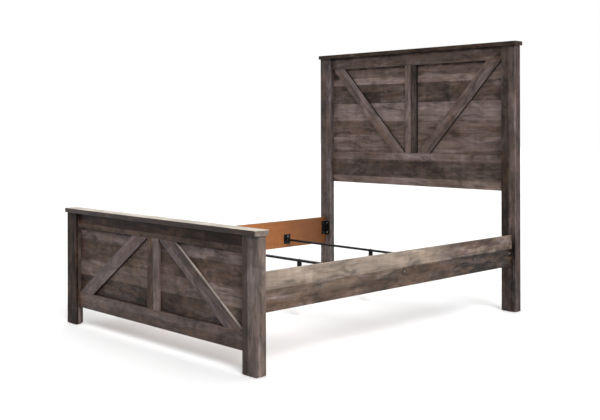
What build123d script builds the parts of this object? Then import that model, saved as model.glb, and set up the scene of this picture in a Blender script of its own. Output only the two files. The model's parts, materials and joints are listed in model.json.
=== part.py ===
"""A queen-size farmhouse bed frame: a headboard and a footboard with built-up posts, a framed
panel and diagonal braces, joined by two side rails, three steel crossbars and their centre legs.

Millimetres. X runs across the bed, Y from the footboard to the headboard, Z up. The origin is on
the floor, in the middle of the bed. Both boards show their braced face to -Y.
"""

from build123d import *
from math import asin, atan2, hypot, sin, tan
import os

os.makedirs("parts", exist_ok=True)

# The mattress, and the bay around it
MATTRESS_WIDTH = 1524
MATTRESS_LENGTH = 2032
SIDE_GAP = 23
END_GAP = 3.5
BAY_WIDTH = MATTRESS_WIDTH + 2 * SIDE_GAP
RAIL_LENGTH = MATTRESS_LENGTH + 2 * END_GAP

# Boards
BOARD = 15
PANEL = 18
EASE = 1.0
STILE_WIDTH = 98
BRACE_WIDTH = 78
BRACE_GAP = 14

# Side rails
RAIL_THICK = 18
RAIL_HEIGHT = 187
RAIL_LOW = 281
RAIL_INSET = 24

# Posts
POST_WIDTH = 97
POST_DEPTH = 61
POST_OUT = BAY_WIDTH / 2 + RAIL_THICK + RAIL_INSET
POST_IN = POST_OUT - POST_WIDTH
BACK_BOARD_WIDTH = 55
CAP_OVERHANG = 10
CAP_THICK = 25
GLIDE_THICK = 3

# The posts' front faces, footboard and headboard, and the faces that the rails meet
FOOT_FRONT = -(RAIL_LENGTH + 2 * POST_DEPTH) / 2
HEAD_FRONT = RAIL_LENGTH / 2
RAIL_FOOT_END = FOOT_FRONT + POST_DEPTH
RAIL_HEAD_END = HEAD_FRONT

# Each end: its front face, the post's top, how far the face boards stand back from the post,
# the panel's lower edge, and the heights of the top and bottom rails
HEAD = dict(name="head", front=HEAD_FRONT, top=1628, recess=25, low=733, top_rail=81, low_rail=218)
FOOT = dict(name="foot", front=FOOT_FRONT, top=640, recess=18, low=102, top_rail=82, low_rail=87)

# Rail brackets, M8 bolts and the blocks inside the posts
STEEL = 3
BEND = 2
BRACKET_LOW = 345
BRACKET_HEIGHT = 95
BRACKET_REACH = 43
BRACKET_ON_RAIL = 36
BRACKET_BOLT_INSET = {"head": 23, "foot": 14}
BRACKET_BOLTS = [BRACKET_LOW + BRACKET_HEIGHT / 2 + dz for dz in (-33.5, 33.5)]
POST_BOLT_X = BAY_WIDTH / 2 - BRACKET_REACH / 2
BLOCK_LOW = 300
BLOCK_HEIGHT = 185
BLOCK_DEPTH = POST_DEPTH - 2 * BOARD
INSERT_LENGTH = 15
INSERT_RADIUS = 6

# Crossbars
BAR_FIRST = 374
BAR_PITCH = 640
BAR_Y = {
    end: RAIL_FOOT_END + BAR_FIRST + i * BAR_PITCH for i, end in enumerate(("foot", "middle", "head"))
}
BAR_WIDTH = 25
BAR_HEIGHT = 12
BAR_WALL = 1.5
BAR_LOW = 329
BAR_END_GAP = 2
BAR_PLATE_WIDTH = 60
BAR_PLATE_LOW = 306
BAR_PLATE_TOP = 372
BAR_BOLT_Z = 360
CRADLE_LENGTH = 40
CRADLE_PLAY = 0.2
CRADLE_BOLT = 20

# Centre legs and their screw feet, drawn with the feet wound right up
LEG_RADIUS = 14
LEG_WALL = 1.5
LEG_LOW = 83
INSERT_FLANGE = 2
INSERT_PLUG = 20
PAD_LOW = 70
PAD_THICK = 10
PAD_RADIUS = 19
STUD_RADIUS = 5
STUD_LENGTH = 115
RUNNING = 0.05

# Fasteners
M8_RADIUS, M8_LENGTH, M8_HEAD_RADIUS, M8_HEAD, M8_KEY = 4, 30, 7, 4.4, 5
M8_NUT, M8_NUT_FLATS = 6.5, 13
M6_RADIUS, M6_LENGTH, M6_HEAD_RADIUS, M6_HEAD, M6_KEY = 3, 40, 5.25, 3.3, 4
M6_NUT, M6_NUT_FLATS = 5, 10
THREAD_PLAY = 0.05
HOLE_PLAY = 0.25
SCREW_RADIUS, SCREW_LENGTH, SCREW_HEAD_RADIUS, SCREW_TIP_ROOM = 1.75, 30, 3.5, 0.5
DOWEL_RADIUS, DOWEL_LENGTH, DOWEL_IN_CAP = 4, 30, 12
GLIDE_RADIUS, NAIL_RADIUS, NAIL_LENGTH = 6.5, 1, 12

SIDES = (("left", -1), ("right", 1))
HEX_CORNER = 2 / 3**0.5 / 2


def write(piece, name):
    """Labels a finished piece and writes its STEP file."""
    piece.part.label = name
    export_step(piece.part, f"parts/{name}.step")


def block(x, y, z):
    """Adds the box that spans x, y and z, each given as a pair of limits in any order."""
    with Locations([((x[0] + x[1]) / 2, (y[0] + y[1]) / 2, (z[0] + z[1]) / 2)]):
        Box(abs(x[1] - x[0]), abs(y[1] - y[0]), abs(z[1] - z[0]))


def facing(x, y, z, direction):
    """The place of a fastener whose head, or whose free end on a nut, points in direction."""
    return Plane(origin=(x, y, z), z_dir=direction).location


def bore(places, radius, depth):
    """Cuts round holes that start at each place and go depth the way opposite to its Z."""
    with Locations(*places):
        Cylinder(radius, depth, align=(Align.CENTER, Align.CENTER, Align.MAX), mode=Mode.SUBTRACT)


# ---------------------------------------------------------------- where the fasteners sit


def panel_front(end):
    """Where the panel's front face lies: behind the post's front by the recess and a board."""
    return end["front"] + end["recess"] + BOARD


def brace_angle(end):
    """The brace's slope: between the stile's corner and a point short of the post, at its width."""
    rise = end["top"] - end["top_rail"] - end["low"] - end["low_rail"]
    run = POST_IN - BRACE_GAP - STILE_WIDTH / 2
    return atan2(rise, run) + asin(BRACE_WIDTH / hypot(rise, run)), rise, run


def brace_outline(end, side):
    """The brace's four corners (x, z). The headboard's rises outwards, the footboard's inwards."""
    angle, rise, run = brace_angle(end)
    cut = BRACE_WIDTH / sin(angle)
    low = end["low"] + end["low_rail"]
    inner, outer = STILE_WIDTH / 2, STILE_WIDTH / 2 + run
    inner_z, outer_z = (low, low + rise) if end is HEAD else (low + rise, low)
    corners = [(inner, inner_z), (inner + cut, inner_z), (outer, outer_z), (outer - cut, outer_z)]
    return [(side * x, z) for x, z in corners]


def screw_points(end):
    """The (x, z) of the screws that go through the panel, by the board that each one holds."""
    low, top = end["low"], end["top"]
    across = [-640, -320, 0, 320, 640]
    rows = (0.25, 0.75) if end is HEAD else (0.5,)
    middle_low, middle_top = low + end["low_rail"], top - end["top_rail"]
    points = {
        "top_rail": [(x, top - end["top_rail"] / 2) for x in across],
        "bottom_rail": [(x, low + end["low_rail"] * row) for row in rows for x in across],
        "stile": [(0, middle_low + (middle_top - middle_low) * part) for part in (0.2, 0.5, 0.8)],
    }
    for name, side in SIDES:
        corners = brace_outline(end, side)
        near = [(corners[0][i] + corners[1][i]) / 2 for i in (0, 1)]
        far = [(corners[2][i] + corners[3][i]) / 2 for i in (0, 1)]
        points[f"brace_{name}"] = [
            tuple(near[i] + (far[i] - near[i]) * part for i in (0, 1)) for part in (0.2, 0.8)
        ]
        count = 5 if end is HEAD else 3
        step = (top - low) / count
        points[f"post_return_{name}"] = [
            (side * (POST_IN + BOARD / 2), low + step * (i + 0.5)) for i in range(count)
        ]
    return points


def from_behind(end, points, y=None):
    """The places of screws that are driven towards -Y, at y or at the panel's back face."""
    y = panel_front(end) + PANEL if y is None else y
    return [facing(x, y, z, (0, 1, 0)) for x, z in points]


def rail_bolt_spots():
    """The y and z of every M8 bolt through a rail."""
    ends = (RAIL_FOOT_END + BRACKET_BOLT_INSET["foot"], RAIL_HEAD_END - BRACKET_BOLT_INSET["head"])
    at_ends = [(y, z) for y in ends for z in BRACKET_BOLTS]
    return at_ends + [(y, BAR_BOLT_Z) for y in BAR_Y.values()]


def rail_bolts():
    """The M8 bolts through the rails' outer faces, two at each end and one at each crossbar."""
    rail_out = BAY_WIDTH / 2 + RAIL_THICK
    return {
        side: [facing(side * rail_out, y, z, (side, 0, 0)) for y, z in rail_bolt_spots()]
        for _, side in SIDES
    }


def post_bolts(end, side, depth_from_rail=0):
    """The M8 bolts from a rail bracket into a post, starting depth_from_rail inside its face."""
    away = -1 if end is HEAD else 1
    y = (RAIL_HEAD_END if end is HEAD else RAIL_FOOT_END) - away * depth_from_rail
    return [facing(side * POST_BOLT_X, y, z, (0, away, 0)) for z in BRACKET_BOLTS]


def dowel_places(end):
    """The foot of each dowel between the cap and the panel."""
    y = panel_front(end) + PANEL / 2
    return [(x, y, end["top"] - DOWEL_LENGTH + DOWEL_IN_CAP) for x in (-600, -300, 0, 300, 600)]


def glide_places(end):
    """Two floor glides under each post: one under the front board, one under the side board."""
    under_front = end["front"] + BOARD / 2
    under_side = end["front"] + BOARD + (POST_DEPTH - BOARD) / 2
    middle, outside = POST_OUT - POST_WIDTH / 2, POST_OUT - BOARD / 2
    return [
        spot
        for _, side in SIDES
        for spot in ((side * middle, under_front), (side * outside, under_side))
    ]


# ---------------------------------------------------------------- headboard and footboard


def build_cap(end):
    """The cap that lies across both posts and hangs over them all round."""
    with BuildPart() as cap:
        reach = POST_OUT + CAP_OVERHANG
        y = (end["front"] - CAP_OVERHANG, end["front"] + POST_DEPTH + CAP_OVERHANG)
        block((-reach, reach), y, (end["top"], end["top"] + CAP_THICK))
        chamfer(cap.edges(), EASE)
        places = [Location((x, y, end["top"] + DOWEL_IN_CAP + 0.5)) for x, y, _ in dowel_places(end)]
        bore(places, DOWEL_RADIUS + THREAD_PLAY, DOWEL_IN_CAP + 0.5)
    write(cap, f"{end['name']}board_cap")


def build_panel(end):
    """The panel behind the face boards, drilled for its screws and for the cap's dowels."""
    half = POST_OUT - BOARD if end is HEAD else POST_IN + BOARD
    front = panel_front(end)
    screws = [point for points in screw_points(end).values() for point in points]
    with BuildPart() as panel:
        block((-half, half), (front, front + PANEL), (end["low"], end["top"]))
        with Locations(*from_behind(end, screws)):
            CounterSinkHole(SCREW_RADIUS + THREAD_PLAY, SCREW_HEAD_RADIUS + THREAD_PLAY, PANEL, 90)
        places = [Location((x, y, end["top"])) for x, y, _ in dowel_places(end)]
        bore(places, DOWEL_RADIUS + THREAD_PLAY, DOWEL_LENGTH - DOWEL_IN_CAP)
    write(panel, f"{end['name']}board_panel")


def build_face_board(end, name, outline):
    """A board laid on the panel: an outline (x, z), a board thick, with its front edges eased."""
    front = panel_front(end)
    with BuildPart() as face_board:
        with BuildSketch(Plane.XZ.offset(-front)):
            with BuildLine():
                Polyline(*outline, close=True)
            make_face()
        extrude(amount=BOARD)
        chamfer(face_board.faces().sort_by(Axis.Y)[0].edges(), EASE)
        screws = from_behind(end, screw_points(end)[name], front)
        bore(screws, SCREW_RADIUS + THREAD_PLAY, SCREW_LENGTH - PANEL + SCREW_TIP_ROOM)
    write(face_board, f"{end['name']}board_{name}")


def rectangle(x, z):
    """The corners of a rectangle that spans x and z."""
    return [(x[0], z[0]), (x[1], z[0]), (x[1], z[1]), (x[0], z[1])]


def build_face(end):
    """The top and bottom rails, the centre stile and the two braces."""
    low, top = end["low"], end["top"]
    middle_low, middle_top = low + end["low_rail"], top - end["top_rail"]
    across = (-POST_IN, POST_IN)
    build_face_board(end, "top_rail", rectangle(across, (middle_top, top)))
    build_face_board(end, "bottom_rail", rectangle(across, (low, middle_low)))
    half = STILE_WIDTH / 2
    build_face_board(end, "stile", rectangle((-half, half), (middle_low, middle_top)))
    for name, side in SIDES:
        build_face_board(end, f"brace_{name}", brace_outline(end, side))


def build_post(end, name, side):
    """A hollow post: a front board, an outer side board and an inner return up to the panel."""
    front, top = end["front"], end["top"]
    height = (GLIDE_THICK, top)
    nails = [
        Location((x, y, GLIDE_THICK), (180, 0, 0)) for x, y in glide_places(end) if x * side > 0
    ]
    outer, inner = side * POST_OUT, side * POST_IN
    with BuildPart() as front_board:
        block((inner, outer), (front, front + BOARD), height)
        chamfer(front_board.edges().filter_by(Axis.Z), EASE)
        bore(nails[:1], NAIL_RADIUS + THREAD_PLAY, NAIL_LENGTH)
        if end is HEAD:
            bore(post_bolts(end, side), M8_RADIUS + HOLE_PLAY, BOARD)
    write(front_board, f"{end['name']}board_post_front_{name}")

    with BuildPart() as side_board:
        block((outer - side * BOARD, outer), (front + BOARD, front + POST_DEPTH), height)
        chamfer(side_board.edges().filter_by(Axis.Z), EASE)
        bore(nails[1:], NAIL_RADIUS + THREAD_PLAY, NAIL_LENGTH)
    write(side_board, f"{end['name']}board_post_side_{name}")

    with BuildPart() as inner_return:
        block((inner, inner + side * BOARD), (front + BOARD, panel_front(end)), height)
        chamfer(inner_return.edges().filter_by(Axis.Z), EASE / 2)
        points = screw_points(end)[f"post_return_{name}"]
        screws = from_behind(end, points, panel_front(end))
        bore(screws, SCREW_RADIUS + THREAD_PLAY, SCREW_LENGTH - PANEL + SCREW_TIP_ROOM)
    write(inner_return, f"{end['name']}board_post_return_{name}")


def build_back_board(name, side):
    """The board that closes the back of a footboard post, where a side rail meets it."""
    outer = side * (POST_OUT - BOARD)
    with BuildPart() as back_board:
        block(
            (outer - side * BACK_BOARD_WIDTH, outer),
            (RAIL_FOOT_END - BOARD, RAIL_FOOT_END),
            (GLIDE_THICK, FOOT["top"]),
        )
        chamfer(back_board.edges().filter_by(Axis.Z), EASE)
        bore(post_bolts(FOOT, side), M8_RADIUS + HOLE_PLAY, BOARD)
    write(back_board, f"footboard_post_back_{name}")


def build_post_blocks():
    """The solid blocks inside the four posts that hold the threaded inserts."""
    with BuildPart() as post_blocks:
        for end in (HEAD, FOOT):
            for _, side in SIDES:
                block(
                    (side * (POST_IN + BOARD), side * (POST_OUT - BOARD)),
                    (end["front"] + BOARD, end["front"] + BOARD + BLOCK_DEPTH),
                    (BLOCK_LOW, BLOCK_LOW + BLOCK_HEIGHT),
                )
        for end in (HEAD, FOOT):
            for _, side in SIDES:
                bore(post_bolts(end, side, BOARD), INSERT_RADIUS + THREAD_PLAY, INSERT_LENGTH)
    write(post_blocks, "post_blocks")


# ---------------------------------------------------------------- side rails and brackets


def build_side_rail(name, side):
    """A side rail, drilled for the bolts of its brackets."""
    inner = side * BAY_WIDTH / 2
    with BuildPart() as side_rail:
        outer = inner + side * RAIL_THICK
        block((inner, outer), (RAIL_FOOT_END, RAIL_HEAD_END), (RAIL_LOW, RAIL_LOW + RAIL_HEIGHT))
        chamfer(side_rail.edges().filter_by(Axis.Y), EASE)
        bore(rail_bolts()[side], M8_RADIUS + HOLE_PLAY, RAIL_THICK)
    write(side_rail, f"side_rail_{name}")


def build_rail_bracket(end, name, side):
    """An angle bracket in the corner of a rail and a post: a bent L with two holes in each leg."""
    away = -1 if end is HEAD else 1
    corner_x, corner_y = side * BAY_WIDTH / 2, RAIL_HEAD_END if end is HEAD else RAIL_FOOT_END
    tip_x, tip_y = corner_x - side * BRACKET_REACH, corner_y + away * BRACKET_ON_RAIL
    with BuildPart() as rail_bracket:
        with BuildSketch(Plane.XY.offset(BRACKET_LOW)) as profile:
            with BuildLine():
                Polyline(
                    (corner_x, corner_y),
                    (tip_x, corner_y),
                    (tip_x, corner_y + away * STEEL),
                    (corner_x - side * STEEL, corner_y + away * STEEL),
                    (corner_x - side * STEEL, tip_y),
                    (corner_x, tip_y),
                    close=True,
                )
            make_face()
            corners = profile.vertices().sort_by_distance((corner_x, corner_y, 0))
            fillet(corners[0], BEND + STEEL)
            inside = profile.vertices().sort_by_distance(
                (corner_x - side * STEEL, corner_y + away * STEEL, 0)
            )
            fillet(inside[0], BEND)
        extrude(amount=BRACKET_HEIGHT)
        bore(post_bolts(end, side, -STEEL), M8_RADIUS + HOLE_PLAY, STEEL)
        on_rail = corner_y + away * BRACKET_BOLT_INSET[end["name"]]
        holes = [facing(corner_x, on_rail, z, (side, 0, 0)) for z in BRACKET_BOLTS]
        bore(holes, M8_RADIUS + HOLE_PLAY, STEEL)
    write(rail_bracket, f"rail_bracket_{end['name']}_{name}")


# ---------------------------------------------------------------- crossbars


def build_crossbar(end, y):
    """A steel crossbar: a rectangular tube, drilled at its ends and in the middle for the leg."""
    half = BAY_WIDTH / 2 - STEEL - BAR_END_GAP
    middle = BAR_LOW + BAR_HEIGHT / 2
    across = BAR_WIDTH + 2
    with BuildPart() as crossbar:
        with BuildSketch(Plane.YZ.offset(-half)):
            with Locations((y, middle)):
                RectangleRounded(BAR_WIDTH, BAR_HEIGHT, 2)
                hollow = (BAR_WIDTH - 2 * BAR_WALL, BAR_HEIGHT - 2 * BAR_WALL)
                RectangleRounded(*hollow, 0.5, mode=Mode.SUBTRACT)
        extrude(amount=2 * half)
        ends = [
            facing(side * (BAY_WIDTH / 2 - CRADLE_BOLT), y - across / 2, middle, (0, -1, 0))
            for _, side in SIDES
        ]
        bore(ends, M6_RADIUS + HOLE_PLAY, across)
        bore([Location((0, y, BAR_LOW + BAR_HEIGHT))], M8_RADIUS + HOLE_PLAY, BAR_HEIGHT)
    write(crossbar, f"crossbar_{end}")


def build_bar_bracket(end, y, name, side):
    """A plate bolted to the rail, with an open cradle that the crossbar drops into."""
    rail = side * BAY_WIDTH / 2
    inside = rail - side * STEEL
    tip = rail - side * CRADLE_LENGTH
    half = BAR_WIDTH / 2 + CRADLE_PLAY
    with BuildPart() as bar_bracket:
        with BuildSketch(Plane.YZ.offset(rail)):
            with Locations((y, (BAR_PLATE_LOW + BAR_PLATE_TOP) / 2)):
                RectangleRounded(BAR_PLATE_WIDTH, BAR_PLATE_TOP - BAR_PLATE_LOW, 4)
        extrude(amount=-side * STEEL)
        block((inside, tip), (y - half - STEEL, y + half + STEEL), (BAR_LOW - STEEL, BAR_LOW))
        for edge in (-1, 1):
            block(
                (inside, tip),
                (y + edge * half, y + edge * (half + STEEL)),
                (BAR_LOW, BAR_LOW + BAR_HEIGHT),
            )
        bore([facing(rail, y, BAR_BOLT_Z, (side, 0, 0))], M8_RADIUS + HOLE_PLAY, STEEL)
        middle = BAR_LOW + BAR_HEIGHT / 2
        bolt = facing(side * (BAY_WIDTH / 2 - CRADLE_BOLT), y - half - STEEL, middle, (0, -1, 0))
        bore([bolt], M6_RADIUS + HOLE_PLAY, 2 * (half + STEEL))
    write(bar_bracket, f"bar_bracket_{end}_{name}")


# ---------------------------------------------------------------- centre legs


def build_centre_leg(end, y):
    """The round steel leg tube under the middle of a crossbar."""
    with BuildPart() as centre_leg:
        with BuildSketch(Plane.XY.offset(LEG_LOW)):
            with Locations((0, y)):
                Circle(LEG_RADIUS)
                Circle(LEG_RADIUS - LEG_WALL, mode=Mode.SUBTRACT)
        extrude(amount=BAR_LOW - LEG_LOW)
    write(centre_leg, f"centre_leg_{end}")


def build_leg_inserts():
    """The plugs in the legs' ends: a threaded one for the M8 bolt above, one for the foot below."""
    plug = LEG_RADIUS - LEG_WALL - THREAD_PLAY
    with BuildPart() as leg_top_inserts:
        for y in BAR_Y.values():
            with Locations((0, y, BAR_LOW)):
                Cylinder(plug, INSERT_PLUG, align=(Align.CENTER, Align.CENTER, Align.MAX))
        bore([Location((0, y, BAR_LOW)) for y in BAR_Y.values()], M8_RADIUS + THREAD_PLAY, INSERT_PLUG)
    write(leg_top_inserts, "leg_top_inserts")

    with BuildPart() as leg_foot_inserts:
        for y in BAR_Y.values():
            with Locations((0, y, LEG_LOW)):
                Cylinder(plug, INSERT_PLUG, align=(Align.CENTER, Align.CENTER, Align.MIN))
                Cylinder(LEG_RADIUS, INSERT_FLANGE, align=(Align.CENTER, Align.CENTER, Align.MAX))
        tops = [Location((0, y, LEG_LOW + INSERT_PLUG)) for y in BAR_Y.values()]
        bore(tops, STUD_RADIUS + RUNNING, INSERT_PLUG + INSERT_FLANGE)
    write(leg_foot_inserts, "leg_foot_inserts")


def build_screw_foot(end, y):
    """A screw foot: a round pad with a shallow cone on top, and a stud that runs up the leg."""
    stud_low = PAD_LOW + PAD_THICK
    with BuildPart() as screw_foot:
        with BuildSketch(Plane.XZ.offset(-y)):
            with BuildLine():
                Polyline(
                    (0, PAD_LOW),
                    (PAD_RADIUS - 1, PAD_LOW),
                    (PAD_RADIUS, PAD_LOW + 1),
                    (PAD_RADIUS, PAD_LOW + 4),
                    (9, stud_low),
                    (STUD_RADIUS, stud_low),
                    (STUD_RADIUS, stud_low + STUD_LENGTH - 1),
                    (STUD_RADIUS - 1, stud_low + STUD_LENGTH),
                    (0, stud_low + STUD_LENGTH),
                    close=True,
                )
            make_face()
        revolve(axis=Axis((0, y, 0), (0, 0, 1)))
    write(screw_foot, f"screw_foot_{end}")


# ---------------------------------------------------------------- fasteners


def button_bolt(radius, length, head_radius, head, key):
    """A bolt with a domed head and a hexagon socket: head up, its seat at Z = 0."""
    with BuildPart() as bolt:
        with BuildSketch(Plane.XZ):
            with BuildLine():
                Polyline((0, head), (0, -length), (radius - 0.5, -length), (radius, 0.5 - length))
                Line((radius, 0.5 - length), (radius, 0))
                Polyline((radius, 0), (head_radius, 0), (head_radius, head * 0.2))
                RadiusArc((head_radius, head * 0.2), (head_radius * 0.55, head), -head_radius)
                Line((head_radius * 0.55, head), (0, head))
            make_face()
        revolve(axis=Axis.Z)
        with BuildSketch(Plane.XY.offset(head)):
            RegularPolygon(key * HEX_CORNER, 6)
        extrude(amount=-head * 0.55, mode=Mode.SUBTRACT)
    return bolt.part


def hex_nut(radius, height, flats):
    """A hexagon nut that sits on Z = 0, with its corners turned off."""
    with BuildPart() as nut:
        with BuildSketch():
            RegularPolygon(flats * HEX_CORNER, 6)
            Circle(radius + THREAD_PLAY, mode=Mode.SUBTRACT)
        extrude(amount=height)
        with BuildSketch():
            Circle(flats * 0.56)
        extrude(amount=height, mode=Mode.INTERSECT)
    return nut.part


def place_all(shape, places, name):
    """Writes one node that holds a copy of the shape at each place."""
    with BuildPart() as group:
        with Locations(*places):
            add(shape)
    write(group, name)


def build_m8_fasteners():
    """The M8 bolts of the brackets and legs, the nuts inside the rails, and the post inserts."""
    bolts = [place for side in (-1, 1) for place in rail_bolts()[side]]
    bolts += [facing(0, y, BAR_LOW + BAR_HEIGHT, (0, 0, 1)) for y in BAR_Y.values()]
    for end in (HEAD, FOOT):
        for _, side in SIDES:
            bolts += post_bolts(end, side, -STEEL)
    bolt = button_bolt(M8_RADIUS, M8_LENGTH, M8_HEAD_RADIUS, M8_HEAD, M8_KEY)
    place_all(bolt, bolts, "m8_bolts")

    seat = BAY_WIDTH / 2 - STEEL
    nuts = [facing(side * seat, y, z, (-side, 0, 0)) for _, side in SIDES for y, z in rail_bolt_spots()]
    place_all(hex_nut(M8_RADIUS, M8_NUT, M8_NUT_FLATS), nuts, "m8_nuts")

    with BuildPart() as insert:
        with BuildSketch():
            Circle(INSERT_RADIUS)
            Circle(M8_RADIUS + THREAD_PLAY, mode=Mode.SUBTRACT)
        extrude(amount=-INSERT_LENGTH)
    inserts = []
    for end in (HEAD, FOOT):
        for _, side in SIDES:
            inserts += post_bolts(end, side, BOARD)
    place_all(insert.part, inserts, "post_inserts")


def build_m6_fasteners():
    """The M6 bolts and nuts that pin the crossbars in their cradles."""
    bolt = button_bolt(M6_RADIUS, M6_LENGTH, M6_HEAD_RADIUS, M6_HEAD, M6_KEY)
    half = BAR_WIDTH / 2 + CRADLE_PLAY + STEEL
    spots = [(side * (BAY_WIDTH / 2 - CRADLE_BOLT), y) for _, side in SIDES for y in BAR_Y.values()]
    middle = BAR_LOW + BAR_HEIGHT / 2
    place_all(bolt, [facing(x, y - half, middle, (0, -1, 0)) for x, y in spots], "m6_bolts")
    nut = hex_nut(M6_RADIUS, M6_NUT, M6_NUT_FLATS)
    place_all(nut, [facing(x, y + half, middle, (0, 1, 0)) for x, y in spots], "m6_nuts")


def build_panel_screws():
    """The countersunk screws in the backs of both panels, with a cross recess in each head."""
    with BuildPart() as screw:
        with BuildSketch(Plane.XZ):
            with BuildLine():
                Polyline(
                    (0, 0),
                    (SCREW_HEAD_RADIUS, 0),
                    (SCREW_RADIUS, SCREW_RADIUS - SCREW_HEAD_RADIUS),
                    (SCREW_RADIUS, 3 - SCREW_LENGTH),
                    (0, -SCREW_LENGTH),
                    close=True,
                )
            make_face()
        revolve(axis=Axis.Z)
        with BuildSketch():
            Rectangle(3.6, 0.8)
            Rectangle(0.8, 3.6)
        extrude(amount=-1, mode=Mode.SUBTRACT)
    places = []
    for end in (HEAD, FOOT):
        for points in screw_points(end).values():
            places += from_behind(end, points)
    place_all(screw.part, places, "panel_screws")


def build_cap_dowels():
    """The dowels between the caps and the panels."""
    with BuildPart() as dowel:
        Cylinder(DOWEL_RADIUS, DOWEL_LENGTH, align=(Align.CENTER, Align.CENTER, Align.MIN))
        chamfer(dowel.edges(), 0.8)
    places = [Location(spot) for end in (HEAD, FOOT) for spot in dowel_places(end)]
    place_all(dowel.part, places, "cap_dowels")


def build_floor_glides():
    """The nail-on glides that the posts stand on."""
    with BuildPart() as glide:
        Cylinder(GLIDE_RADIUS, GLIDE_THICK, align=(Align.CENTER, Align.CENTER, Align.MIN))
        chamfer(glide.edges().sort_by(Axis.Z)[0], 1)
        with Locations((0, 0, GLIDE_THICK)):
            Cylinder(NAIL_RADIUS, NAIL_LENGTH - 1, align=(Align.CENTER, Align.CENTER, Align.MIN))
    places = [Location((x, y, 0)) for end in (HEAD, FOOT) for x, y in glide_places(end)]
    place_all(glide.part, places, "floor_glides")


# ---------------------------------------------------------------- the whole frame

for end in (HEAD, FOOT):
    build_cap(end)
    build_panel(end)
    build_face(end)
    for name, side in SIDES:
        build_post(end, name, side)
        build_rail_bracket(end, name, side)

for name, side in SIDES:
    build_back_board(name, side)
    build_side_rail(name, side)

for place, y in BAR_Y.items():
    build_crossbar(place, y)
    build_centre_leg(place, y)
    build_screw_foot(place, y)
    for name, side in SIDES:
        build_bar_bracket(place, y, name, side)

build_post_blocks()
build_leg_inserts()
build_m8_fasteners()
build_m6_fasteners()
build_panel_screws()
build_cap_dowels()
build_floor_glides()
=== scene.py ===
import json
import math

import bpy
import numpy as np
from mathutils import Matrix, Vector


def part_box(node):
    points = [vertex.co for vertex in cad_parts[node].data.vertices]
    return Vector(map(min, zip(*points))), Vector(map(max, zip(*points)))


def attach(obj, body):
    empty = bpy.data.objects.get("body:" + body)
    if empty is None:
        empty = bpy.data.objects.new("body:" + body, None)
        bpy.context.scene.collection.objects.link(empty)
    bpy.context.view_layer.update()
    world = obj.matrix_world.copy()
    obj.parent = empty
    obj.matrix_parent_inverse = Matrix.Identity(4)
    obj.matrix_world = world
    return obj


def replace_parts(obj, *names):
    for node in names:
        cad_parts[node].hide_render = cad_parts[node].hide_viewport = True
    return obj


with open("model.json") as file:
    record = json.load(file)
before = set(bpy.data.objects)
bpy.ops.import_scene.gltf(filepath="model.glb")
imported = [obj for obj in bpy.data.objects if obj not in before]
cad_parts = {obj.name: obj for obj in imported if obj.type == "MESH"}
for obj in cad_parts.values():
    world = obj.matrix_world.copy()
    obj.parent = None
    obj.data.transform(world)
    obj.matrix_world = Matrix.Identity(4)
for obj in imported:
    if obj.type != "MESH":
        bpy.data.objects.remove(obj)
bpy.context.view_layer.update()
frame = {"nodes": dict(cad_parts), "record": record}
NODES = frame["nodes"]
SCENE = bpy.context.scene
MM = 0.001
AXES = {"x": 0, "y": 1, "z": 2}
EASED = {"interpolation_type": "SMOOTHSTEP"}
PATTERN_STEPS = (3.17, 5.71, 1.93)  # moves each board's and each pattern's noise to a place of its own
KNOT_STEPS = (2.3, 4.9, 0.7)

# ---------------------------------------------------------------- nodes and colours


def linear(code):
    """An sRGB hex colour as linear RGBA."""
    parts = [int(code[i : i + 2], 16) / 255 for i in (1, 3, 5)]
    curve = [c / 12.92 if c <= 0.04045 else ((c + 0.055) / 1.055) ** 2.4 for c in parts]
    return (*curve, 1.0)


def live(sockets, key):
    """The socket of that name or place, among those that the node's settings leave in use."""
    usable = [s for s in sockets if s.enabled and not s.is_unavailable]
    return usable[key] if isinstance(key, int) else next(s for s in usable if s.name == key)


def add(tree, kind, feeds=(), stops=(), **settings):
    """Adds a node with its settings. feeds gives its inputs in order, or by name, as values, sockets
    or nodes (for a node's first output). stops are a colour ramp's (place, colour) pairs."""
    made = tree.nodes.new("ShaderNode" + kind)
    for name, value in settings.items():
        setattr(made, name, value)
    for key, value in feeds.items() if isinstance(feeds, dict) else enumerate(feeds):
        socket = live(made.inputs, key)
        if isinstance(value, bpy.types.Node):
            value = live(value.outputs, 0)
        if isinstance(value, bpy.types.NodeSocket):
            tree.links.new(value, socket)
        else:
            socket.default_value = value
    for i, (place, colour) in enumerate(stops):
        elements = made.color_ramp.elements
        if i >= len(elements):
            elements.new(place)
        elements[i].position = place
        elements[i].color = colour
    return made


def new_material(name):
    """A material with an empty tree, its Object coordinates, and how far up its faces look."""
    made = bpy.data.materials.new(name)
    made.use_nodes = True
    tree = made.node_tree
    tree.nodes.clear()
    coordinates = add(tree, "TexCoord").outputs
    facing = add(tree, "SeparateXYZ", (coordinates["Normal"],)).outputs
    return made, tree, coordinates["Object"], facing


def patterns(tree, place, sizes, seed=0.0):
    """The noise patterns of a finish, by name. sizes gives each one's (size of a patch along three
    axes in mm, detail, roughness, warp)."""
    made = {}
    for i, (name, (patch, detail, rough, warp)) in enumerate(sizes.items()):
        offset = tuple((seed + i) * step for step in PATTERN_STEPS)
        scale = tuple(1 / (size * MM) for size in patch)
        placed = add(tree, "Mapping", {"Vector": place, "Location": offset, "Scale": scale})
        made[name] = add(tree, "TexNoise", {
            "Vector": placed, "Scale": 1.0, "Detail": detail, "Roughness": rough, "Distortion": warp})
    return made


def coat(tree, relief, strength, depth, inputs):
    """Ends a finish: a shader with those inputs over a relief of that depth in mm."""
    bump = add(tree, "Bump", {"Strength": strength, "Distance": depth * MM, "Height": relief})
    shader = add(tree, "BsdfPrincipled", inputs | {"Normal": bump})
    add(tree, "OutputMaterial", (shader,))


def dress(node, material):
    """Gives a CAD node that material."""
    for holder in NODES[node].material_slots:
        holder.material = material


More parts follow.
